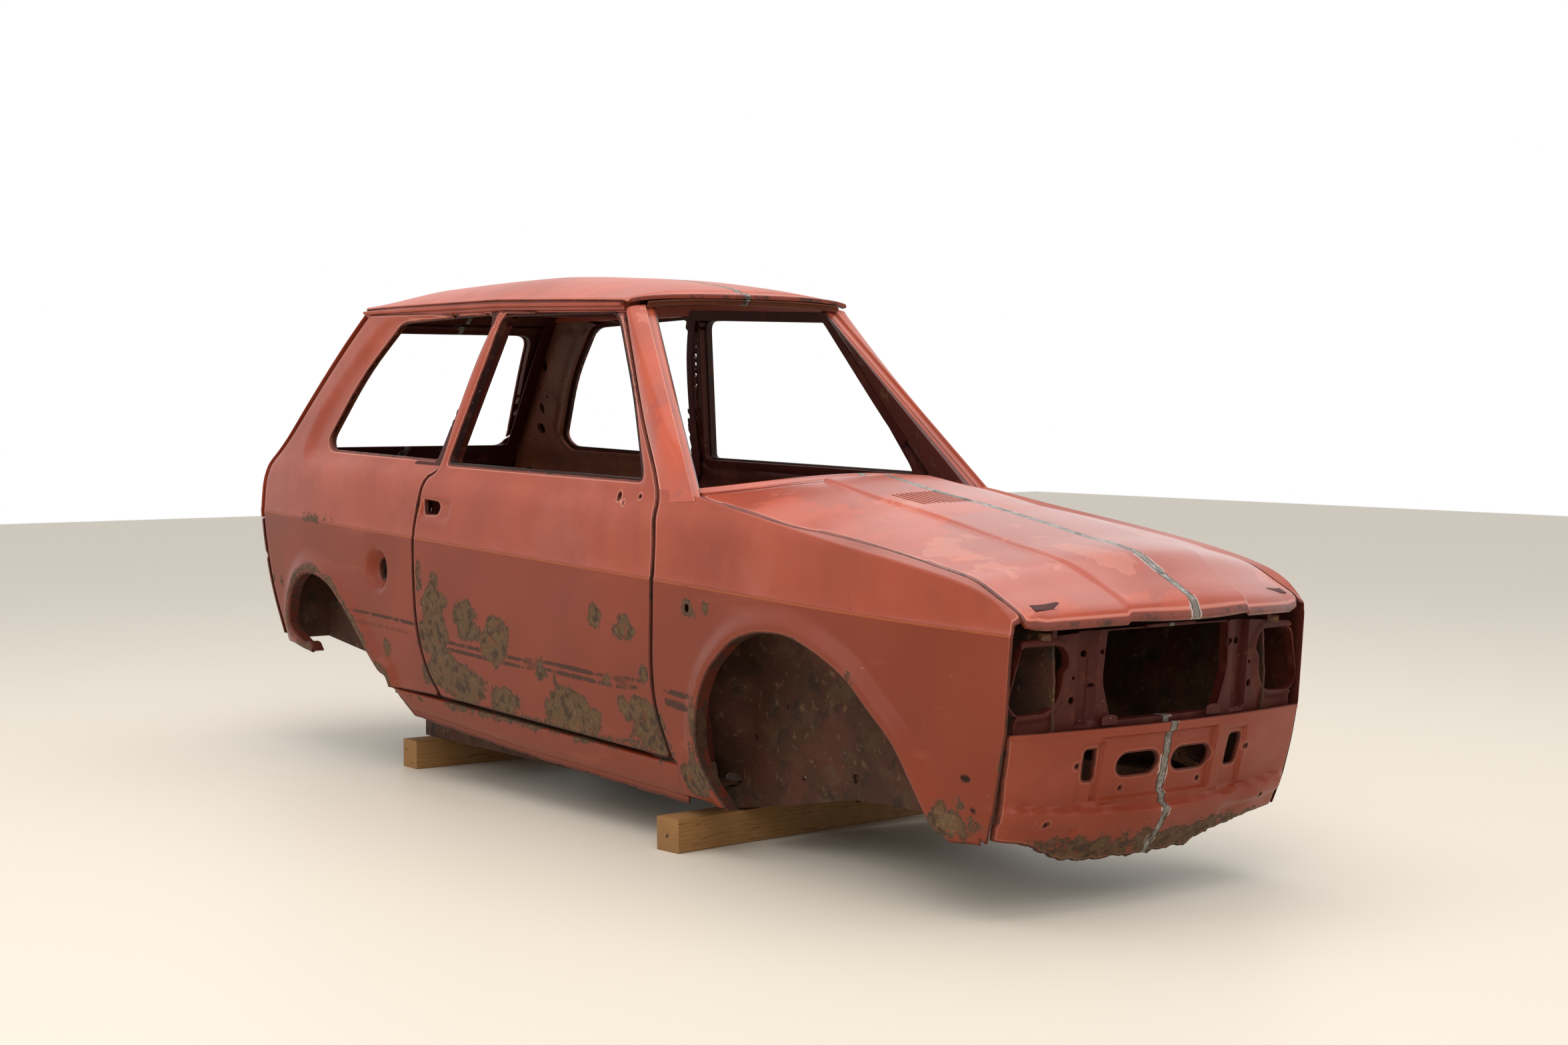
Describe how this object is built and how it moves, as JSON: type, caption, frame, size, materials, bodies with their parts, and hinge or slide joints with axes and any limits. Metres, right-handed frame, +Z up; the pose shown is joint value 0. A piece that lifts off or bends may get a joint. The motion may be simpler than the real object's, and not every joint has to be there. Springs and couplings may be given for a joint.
{
  "type": "abandoned small hatchback body shell, cut lengthwise and welded narrow, on two timbers",
  "caption": "Rusty, stripped body shell of a small hatchback, cut lengthwise and welded together narrower, resting on two timbers; doors, bonnet and tailgate open.",
  "frame": {"origin": "centre of the bounding box, on the floor under the timbers", "axes": "+Z up, +Y towards the tail along the car's length, +X towards the car's left side; the nose faces -Y"},
  "size_m": [0.971, 3.426, 1.33],
  "materials": {
    "faded_red_paint": "faded and chipped enamel, rough",
    "maroon_inner_paint": "dull inner paint with dust and rust",
    "underseal": "stippled underseal, matt",
    "rusty_steel": "rusted, matt",
    "oak_timber": "sawn, dry"
  },
  "bodies": {
    "shell": {"roof_panel": "faded_red_paint", "windscreen_header": "maroon_inner_paint", "scuttle_panel": "faded_red_paint", "rear_header": "maroon_inner_paint", "right_front_pillar": "faded_red_paint", "left_front_pillar": "faded_red_paint", "right_roof_rail": "faded_red_paint", "left_roof_rail": "faded_red_paint", "right_front_wing": "faded_red_paint", "left_front_wing": "faded_red_paint", "right_quarter_panel": "faded_red_paint", "left_quarter_panel": "faded_red_paint", "right_centre_pillar": "maroon_inner_paint", "left_centre_pillar": "maroon_inner_paint", "right_sill": "faded_red_paint", "left_sill": "faded_red_paint", "right_rear_pillar": "faded_red_paint", "left_rear_pillar": "faded_red_paint", "lamp_panel": "maroon_inner_paint", "lower_front_panel": "faded_red_paint", "right_inner_wing": "underseal", "left_inner_wing": "underseal", "bulkhead": "maroon_inner_paint", "engine_bay_braces": "rusty_steel", "right_chassis_rail": "underseal", "left_chassis_rail": "underseal", "floor_pan": "underseal", "rear_floor": "underseal", "right_rear_wheelhouse": "underseal", "left_rear_wheelhouse": "underseal", "rear_panel": "faded_red_paint", "right_door_hinges": "rusty_steel", "left_door_hinges": "rusty_steel", "bonnet_hinges": "rusty_steel", "tailgate_hinges": "rusty_steel", "front_timber": "oak_timber", "rear_timber": "oak_timber"},
    "right_door": {"right_door_skin": "faded_red_paint", "right_door_frame": "maroon_inner_paint"},
    "left_door": {"left_door_skin": "faded_red_paint", "left_door_frame": "maroon_inner_paint"},
    "bonnet": {"bonnet_skin": "faded_red_paint", "bonnet_frame": "maroon_inner_paint"},
    "tailgate": {"tailgate_skin": "faded_red_paint", "tailgate_frame": "maroon_inner_paint"}
  },
  "joints": [
    {"name": "right_door_hinge", "type": "hinge", "parent": "shell", "child": "right_door", "pos_m": [-0.434, -0.434, 0.55], "axis": [0, 0, 1], "range_deg": [0, 65]},
    {"name": "left_door_hinge", "type": "hinge", "parent": "shell", "child": "left_door", "pos_m": [0.434, -0.434, 0.55], "axis": [0, 0, -1], "range_deg": [0, 65]},
    {"name": "bonnet_hinge", "type": "hinge", "parent": "shell", "child": "bonnet", "pos_m": [0, -1.621, 0.558], "axis": [1, 0, 0], "range_deg": [0, 55]},
    {"name": "tailgate_hinge", "type": "hinge", "parent": "shell", "child": "tailgate", "pos_m": [0, 1.205, 1.254], "axis": [1, 0, 0], "range_deg": [0, 80]}
  ]
}
